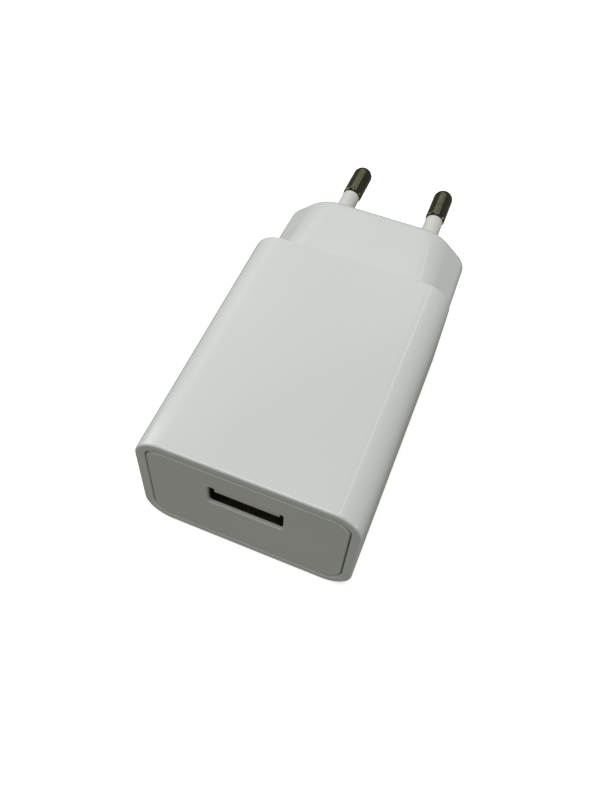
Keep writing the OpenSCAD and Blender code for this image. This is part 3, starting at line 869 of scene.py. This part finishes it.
def build_pin(side, name, materials):
    """The turned pin: tail, collar, core under the sleeve and the bare end with its round tip."""
    bevel = 0.36
    tail_r = 1.2
    tail_edge = 0.15
    collar = -PIN_WALL - COLLAR_T
    profile = [(0, -PIN_TAIL_L), (tail_r - tail_edge, -PIN_TAIL_L), (tail_r, tail_edge - PIN_TAIL_L),
               (tail_r, collar - COLLAR_T), (COLLAR_R, collar - COLLAR_T), (COLLAR_R, collar),
               (CORE_R, collar), (CORE_R, SLEEVE_L),
               (PIN_R - bevel - 0.03, SLEEVE_L), (PIN_R - bevel, SLEEVE_L + 0.02)]
    profile += [(PIN_R - 0.03, SLEEVE_L + bevel - 0.02), (PIN_R, SLEEVE_L + bevel + 0.05)]
    profile += [(PIN_R, SLEEVE_L + 1), (PIN_R, PIN_L - PIN_TIP_R - 0.3)]
    profile += arc((PIN_R - PIN_TIP_R, PIN_L - PIN_TIP_R), PIN_TIP_R, 0, 90, 14)
    profile += [(0, PIN_L)]
    bm = bmesh.new()
    turned(bm, profile, pin_place(side))
    pin = add_object(f"{name}_turned", to_mesh(name, bm))
    fit_piece(pin, [materials["pin_metal"]], [name])


def build_sleeve(side, name, materials):
    """The sleeve on a pin: a collar inside the case, a flare at the root and a round lip."""
    gap = 0.3                      # dark line left between the sleeve and the metal
    end = SLEEVE_L - gap
    lip = 0.12
    flare_r = 0.8
    bore_r = CORE_R + 0.02
    collar = -PIN_WALL - COLLAR_T
    wall = -PIN_WALL - 0.05
    profile = [(bore_r, collar), (COLLAR_R, collar), (COLLAR_R, wall), (SLEEVE_R, wall), (SLEEVE_R, -0.02)]
    profile += [(SLEEVE_R + flare_r - 0.05, 0.0)]
    profile += arc((SLEEVE_R + flare_r, flare_r), flare_r, 270, 180, 8)[1:]
    profile += arc((SLEEVE_R - lip, end - lip), lip, 0, 90, 4)
    profile += [(bore_r, end), (bore_r, collar)]
    bm = bmesh.new()
    turned(bm, profile, pin_place(side))
    sleeve = add_object(f"{name}_moulded", to_mesh(name, bm))
    fit_piece(sleeve, [materials["sleeve_plastic"]], [name])


# ---- USB socket ----

def build_socket(materials):
    """The steel shell, the insulator with its tongue, and the contacts below the tongue."""
    shell = softened("usb_shell", 0.06)
    fit_piece(shell, [materials["shell_steel"]], ["usb_shell"])
    insulator = softened("usb_insulator", 0.09)
    fit_piece(insulator, [materials["socket_plastic"]], ["usb_insulator"])
    tails = softened("usb_contact_tails", 0.04)
    fit_piece(tails, [materials["contact_gold"]], ["usb_contact_tails"])
    for i in range(1, 5):
        node = f"usb_contact_{i}"
        finger = softened(node, 0.05)
        fit_piece(finger, [materials["contact_gold"]], [node], f"contact_{i}")


# ---- parts inside ----

LEAD_R = 0.3
TRAFO_PIN_PITCH = 3.2
TRAFO_PIN_Y = 5.3
WINDING_T = 1
WINDING_R = 1.3                   # outer corners of the winding
WIRE_SHARE = 0.97                 # a wire's width as a share of the pitch, so turns don't touch


lead_ends = []                    # where each lead ends, on the far side of the board


def lead(bm, points, bend=0.0):
    """A round lead that ends in its hole in the board."""
    wire(bm, points, LEAD_R, bend)
    lead_ends.append(Vector(points[-1]))


def build_moulded_parts(materials):
    """Parts whose drawn shape is right: each gets its edges rounded and its own finish."""
    for node, slot, edge in (
        ("pin_retainer", "retainer_plastic", 0.25),
        ("mains_contact_left", "contact_spring", 0.08),
        ("mains_contact_right", "contact_spring", 0.08),
        ("bridge_rectifier", "chip_plastic", 0.04),
        ("controller_chip", "chip_plastic", 0.03),
        ("output_diode", "chip_plastic", 0.04),
        ("transformer_core_front", "ferrite", 0.15),
        ("transformer_core_rear", "ferrite", 0.15),
        ("transformer_bobbin", "bobbin_plastic", 0.08),
        ("transformer_pins", "tinned_wire", 0.08),
        ("transformer_tape", "coil_tape", 0.04),
        ("chip_parts", "chip_ceramic", 0.06),
        ("insulation_sheet", "barrier_film", 0.06),
    ):
        thing = softened(node, edge)
        if slot in ("chip_plastic", "chip_ceramic"):
            paint_metal_ends(thing, node)
            fit_piece(thing, [materials[slot], materials["tinned_wire"]], [node])
        else:
            fit_piece(thing, [materials[slot]], [node])


def paint_metal_ends(thing, node):
    """Gives the leads of a chip, or the two ends of a small chip part, to the second material."""
    low, high = box_mm(node)
    part_half, end_l = 1, 0.4      # a small chip part, and its tinned end
    lead_l, lead_t = 0.9, 0.3
    for face in thing.data.polygons:
        x, _, z = face.center / MM
        if node == "chip_parts":
            nearest = min((abs(x - middle), middle) for middle in (-3, -2, 0, 2, 3))[1]
            face.material_index = int(abs(x - nearest) > part_half - end_l)
        else:
            body = (high.x - low.x) / 2 - lead_l
            face.material_index = int(abs(x - (low.x + high.x) / 2) > body and z > high.z - lead_t)


def build_capacitor(node, materials, lead_reach, below):
    """An electrolytic can lying along the board: black sleeve, bare end with its vent, two leads."""
    low, high = box_mm(node)
    lead_y = high.y - LEAD_R
    r = (high.x - low.x) / 2
    x = (low.x + high.x) / 2
    z = low.z + r if below else high.z - r
    length = lead_y - 1.2 - low.y
    groove = length - 1.35         # middle of the groove rolled round the can's seal
    place = Matrix.Translation((x, low.y, z)) @ Matrix.Rotation(-math.pi / 2, 4, "X")
    bm = bmesh.new()
    profile = [(0, 0.12), (0.3 * r, 0.12), (0.32 * r, 0.16), (r - 0.9, 0.16), (r - 0.85, 0.1)]
    profile += arc((r - 0.35, 0.35), 0.35, 270, 360, 5)
    profile += [(r, 0.5), (r, groove - 0.5)]
    for k in range(1, 12):
        depth = 0.15 * (1 - math.cos(2 * math.pi * k / 12))
        profile.append((r - depth, groove - 0.5 + k / 12))
    profile += [(r, groove + 0.5), (r, length - 0.3)]
    profile += arc((r - 0.3, length - 0.3), 0.3, 0, 90, 4)
    profile += [(r - 0.8, length), (r - 0.85, length - 0.15), (0, length - 0.15)]
    turned(bm, profile, place, 72)
    can_faces = len(bm.faces)
    end_z = high.z if below else low.z
    for side in (-1, 1):
        lead_x = x + side * lead_reach
        points = [(lead_x, low.y + length - 0.4, z), (lead_x, lead_y, z), (lead_x, lead_y, end_z)]
        lead(bm, points, 0.7)
    can = add_object(f"{node}_sleeved", to_mesh(node, bm))
    for face in can.data.polygons:
        centre = face.center / MM - Vector((x, low.y, z))
        radius = math.hypot(centre.x, centre.z)
        if face.index >= can_faces:
            face.material_index = 2
        elif centre.y < 0.2 and radius < r - 0.8:
            face.material_index = 1
    fit_piece(can, [materials["capacitor_can"], materials["bare_aluminium"], materials["tinned_wire"]],
              [node])


def build_disc(node, materials, reach):
    """A dipped disc on two leads, with a rounded rim."""
    low, high = box_mm(node)
    thickness = high.x - low.x
    x = (low.x + high.x) / 2
    y = (low.y + high.y) / 2
    r = (high.y - low.y) / 2
    z = high.z - r
    bm = bmesh.new()
    place = Matrix.Translation((low.x, y, z)) @ Matrix.Rotation(math.pi / 2, 4, "Y")
    rim = thickness * 0.42
    profile = [(0, 0)] + [(r - rim, 0.05)]
    profile += arc((r - rim, 0.05 + rim), rim, 270, 360, 8)[1:]
    profile += arc((r - rim, thickness - 0.05 - rim), rim, 0, 90, 8)
    profile += [(0, thickness)]
    turned(bm, profile, place, 64)
    coat_faces = len(bm.faces)
    for side in (-1, 1):
        lead(bm, [(x, y + side * reach, z - 1), (x, y + side * reach, low.z)])
    disc = add_object(f"{node}_dipped", to_mesh(node, bm))
    for face in disc.data.polygons:
        face.material_index = int(face.index >= coat_faces)
    fit_piece(disc, [materials["disc_coat"], materials["tinned_wire"]], [node])


def build_choke(materials):
    """The drum core of the filter choke, wound with copper between its two rims."""
    low, high = box_mm("filter_choke")
    x, y = (low.x + high.x) / 2, (low.y + high.y) / 2
    r = (high.x - low.x) / 2
    base = board_high.z + 0.1
    height = high.z - base
    rim = 0.8
    drum_r = r - 1.2
    coil_r = r - 0.55
    lead_reach = 1.25
    bm = bmesh.new()
    profile = [(0, 0), (r - 0.15, 0), (r, 0.15), (r, rim - 0.1), (r - 0.1, rim), (drum_r, rim + 0.05)]
    profile += [(radius, height - z) for radius, z in reversed(profile)]
    place = Matrix.Translation((x, y, base))
    turned(bm, profile, place, 72)
    core_faces = len(bm.faces)
    turn_r = 0.2
    turns = int((height - 2 * rim) / (2 * turn_r))
    start = (height - turns * 2 * turn_r) / 2
    coil = [(r - 1.1, start)]
    for k in range(turns):
        bulge = arc((coil_r, start + (2 * k + 1) * turn_r), turn_r, -90, 90, 5)
        coil += bulge if k == 0 else bulge[1:]
    coil += [(r - 1.1, height - start), (r - 1.1, start)]
    turned(bm, coil, place, 72)
    coil_faces = len(bm.faces)
    for side in (-1, 1):
        lead_x = x + side * lead_reach
        lead(bm, [(lead_x, y, base + 0.3), (lead_x, y, low.z)])
    choke = add_object("filter_choke_wound", to_mesh("filter_choke", bm))
    for face in choke.data.polygons:
        face.material_index = int(face.index >= core_faces) + int(face.index >= coil_faces)
    fit_piece(choke, [materials["ferrite"], materials["copper_wire"], materials["tinned_wire"]],
              ["filter_choke"])


def build_fuse(materials):
    """The fuse resistor: a lacquered body with two round end caps, and bent leads."""
    low, high = box_mm("fuse_resistor")
    y = (low.y + high.y) / 2
    reach = (high.x - low.x) / 2 - LEAD_R
    z = board_high.z + 1.8
    half, cap_r, waist_r, cap_l = 4, 1.6, 1.35, 1.8
    end = [(0, -half)] + arc((cap_r - 0.6, -half + 0.6), 0.6, 270, 360, 6)
    neck = cap_l - half
    end += [(cap_r, neck - 0.2), (waist_r + 0.05, neck + 0.1), (waist_r, neck + 0.35)]
    profile = end + [(radius, -x) for radius, x in reversed(end)]
    bm = bmesh.new()
    turned(bm, profile, Matrix.Translation((0, y, z)) @ Matrix.Rotation(math.pi / 2, 4, "Y"), 64)
    body_faces = len(bm.faces)
    for side in (-1, 1):
        points = [(side * (half - 0.2), y, z), (side * reach, y, z), (side * reach, y, low.z)]
        lead(bm, points, 0.8)
    fuse = add_object("fuse_resistor_lacquered", to_mesh("fuse_resistor", bm))
    for face in fuse.data.polygons:
        face.material_index = int(face.index >= body_faces)
    fit_piece(fuse, [materials["resistor_coat"], materials["tinned_wire"]],
              ["fuse_resistor"])


def build_winding(materials):
    """The transformer winding: layers of enamelled wire wound turn by turn around the bobbin."""
    low, high = box_mm("transformer_winding")
    middle = (low + high) / 2
    layers = 3
    wire_r = WINDING_T / layers / 2
    turns = int((high.y - low.y) / (2 * wire_r))
    start = middle.y - (turns - 1) * wire_r
    tree = turns_tree()
    bm = bmesh.new()
    for layer in range(layers):
        inset = (2 * layer + 1) * wire_r
        turn = add_object("layer", to_mesh("layer", bmesh.new()))
        grown(turn, tree, {
            "Turns": turns, "Pitch": 2 * wire_r * MM, "Wire Radius": WIRE_SHARE * wire_r * MM,
            "Width": (high.x - low.x - 2 * inset) * MM, "Height": (high.z - low.z - 2 * inset) * MM,
            "Corner": (WINDING_R - inset) * MM, "Start": Vector((middle.x, start, middle.z)) * MM,
            "Material": materials["copper_wire"],
        })
        bm.from_mesh(turn.data)
        bpy.data.objects.remove(turn)
    bmesh.ops.scale(bm, vec=(1 / MM, 1 / MM, 1 / MM), verts=bm.verts)
    winding = add_object("transformer_winding_wound", to_mesh("transformer_winding", bm, 60))
    fit_piece(winding, [materials["copper_wire"]], ["transformer_winding"])


def joint_shape(up):
    """One solder joint: a hollow cone of tin that wets the pad and climbs the lead."""
    pad_r, top_r, height = 0.75, LEAD_R + 0.03, 0.55
    hollow = height - 0.05
    profile = [(0, -0.01), (pad_r, -0.01), (pad_r, 0.05)]
    for k in range(1, 8):
        t = k / 8
        profile.append((pad_r + (top_r - pad_r) * math.sin(t * math.pi / 2), 0.05 + hollow * t ** 2))
    profile += [(top_r, height), (0, height)]
    bm = bmesh.new()
    turned(bm, profile, Matrix.Diagonal((1, 1, up, 1)), 24)
    return add_object("joint", to_mesh("joint", bm))


def build_board(materials):
    """The board with a solder joint at every lead."""
    ends = list(lead_ends)
    coil_low, coil_high = box_mm("transformer_winding")
    for i in range(4):
        for side in (-1, 1):
            pin_y = (coil_low.y + coil_high.y) / 2 + side * TRAFO_PIN_Y
            ends.append(Vector(((i - 1.5) * TRAFO_PIN_PITCH, pin_y, board_low.z - 1)))
    tree = on_points_tree()
    board = softened("main_board", 0.06)
    bm = bmesh.new()
    bm.from_mesh(board.data)
    laminate_faces = len(bm.faces)
    for up, surface in ((1, board_high.z), (-1, board_low.z)):
        spots = [(end.x, end.y, surface) for end in ends if (end.z - surface) * up > 0]
        points = bpy.data.meshes.new("spots")
        points.from_pydata([Vector(spot) * MM for spot in spots], [], [])
        shape = joint_shape(up)
        joints = grown(add_object("joints", points), tree, {
            "Shape": shape, "Size": 1.0, "Material": materials["tin_solder"]})
        bm.from_mesh(joints.data)
        bpy.data.objects.remove(joints)
        bpy.data.objects.remove(shape)
    bm.faces.ensure_lookup_table()
    for face in bm.faces[:laminate_faces]:
        face.material_index = 2 * int(abs(face.normal.z) < 0.5)
    for face in bm.faces[laminate_faces:]:
        face.material_index = 1
        face.smooth = True
    bm.to_mesh(board.data)
    bm.free()
    board.data.set_sharp_from_angle(angle=math.radians(35))
    fit_piece(board, [materials["board_laminate"], materials["tin_solder"], materials["bare_laminate"]],
              ["main_board"])


# ---- stage ----

def build_stage():
    """A plain pale floor under soft studio light."""
    bm = bmesh.new()
    bmesh.ops.create_circle(bm, cap_ends=True, segments=96, radius=900)
    floor = add_object("floor", to_mesh("floor", bm))
    material, tree = new_material("white paper backdrop")
    fibre = speckle(tree, 2, 2.0)
    close_material(tree, {
        "Base Color": blended(tree, fibre, [(0.3, "#F6F6F5"), (0.7, "#F9F9F8")]),
        "Roughness": 0.9,
        "Emission Color": colour("#FFFFFF"),
        "Emission Strength": 0.62,
    })
    floor.data.materials.append(material)
    floor.visible_diffuse = False
    floor.visible_glossy = False


def add_softbox(name, place, target, size, power):
    light = bpy.data.lights.new(name, "AREA")
    light.shape = "RECTANGLE"
    light.size, light.size_y = size[0] * MM, size[1] * MM
    light.energy = power
    lamp = bpy.data.objects.new(name, light)
    lamp.location = Vector(place) * MM
    lamp.rotation_mode = "QUATERNION"
    lamp.rotation_quaternion = (Vector(target) - Vector(place)).to_track_quat("-Z", "Y")
    bpy.context.scene.collection.objects.link(lamp)
    return lamp


def build_light():
    world = bpy.data.worlds.new("studio")
    world.use_nodes = True
    world.node_tree.nodes["Background"].inputs["Color"].default_value = colour("#F8FAEE")
    world.node_tree.nodes["Background"].inputs["Strength"].default_value = 0.2
    bpy.context.scene.world = world
    window = add_softbox("window softbox", (-476, 653, 600), (-476, 653, 0), (900, 900), 1.75)
    window.rotation_quaternion = Quaternion((0, 0, 1), math.radians(50))
    add_softbox("ceiling softbox", (-60, -20, 700), (-60, -20, 0), (420, 400), 1.85)
    add_softbox("left softbox", (-700, 60, 220), (0, 0, 12), (500, 500), 1.5)
    add_softbox("front catch light", (-80, -420, 560), (0, 40, 12), (120, 80), 0.13)
    add_softbox("right softbox", (600, -40, 50), (0, 0, 10), (500, 90), 0.5)
    add_softbox("strip light", (225, 300, 700), (225, 300, 0), (40, 1200), 0.55)


def build_camera():
    data = bpy.data.cameras.new("camera")
    data.sensor_width = 36
    data.lens = 34.935
    data.shift_x = 0.0375
    data.clip_start = 0.005
    data.clip_end = 10
    camera = bpy.data.objects.new("camera", data)
    place = Vector((21.804, FRONT - 48.51, 124.757)) * MM
    target = Vector((-4.925, FRONT + 22.208, MID_Z)) * MM
    roll = Quaternion((0, 0, 1), math.radians(2.363))
    camera.location = place
    camera.rotation_mode = "QUATERNION"
    camera.rotation_quaternion = (target - place).to_track_quat("-Z", "Y") @ roll
    bpy.context.scene.collection.objects.link(camera)
    bpy.context.scene.camera = camera
    bpy.context.scene.view_settings.view_transform = "Standard"


materials = {make.__name__: make() for make in (
    case_plastic, panel_plastic, sleeve_plastic, pin_metal, shell_steel, socket_plastic, contact_gold,
    retainer_plastic, contact_spring, board_laminate, bare_laminate, resistor_coat, disc_coat,
    ferrite, chip_plastic, capacitor_can, bare_aluminium, bobbin_plastic, tinned_wire, copper_wire,
    tin_solder, coil_tape, chip_ceramic, barrier_film)}
build_camera()
build_light()
build_stage()
build_case(materials)
build_panel(materials)
for side, word in ((-1, "left"), (1, "right")):
    build_pin(side, f"pin_{word}", materials)
    build_sleeve(side, f"pin_sleeve_{word}", materials)
build_socket(materials)
build_moulded_parts(materials)
for i in (1, 2):
    build_capacitor(f"input_capacitor_{i}", materials, 1.75, below=True)
    build_capacitor(f"output_capacitor_{i}", materials, 1.25, below=False)
build_disc("varistor", materials, 2.5)
build_disc("y_capacitor", materials, 3.2)
build_choke(materials)
build_fuse(materials)
build_winding(materials)
build_board(materials)
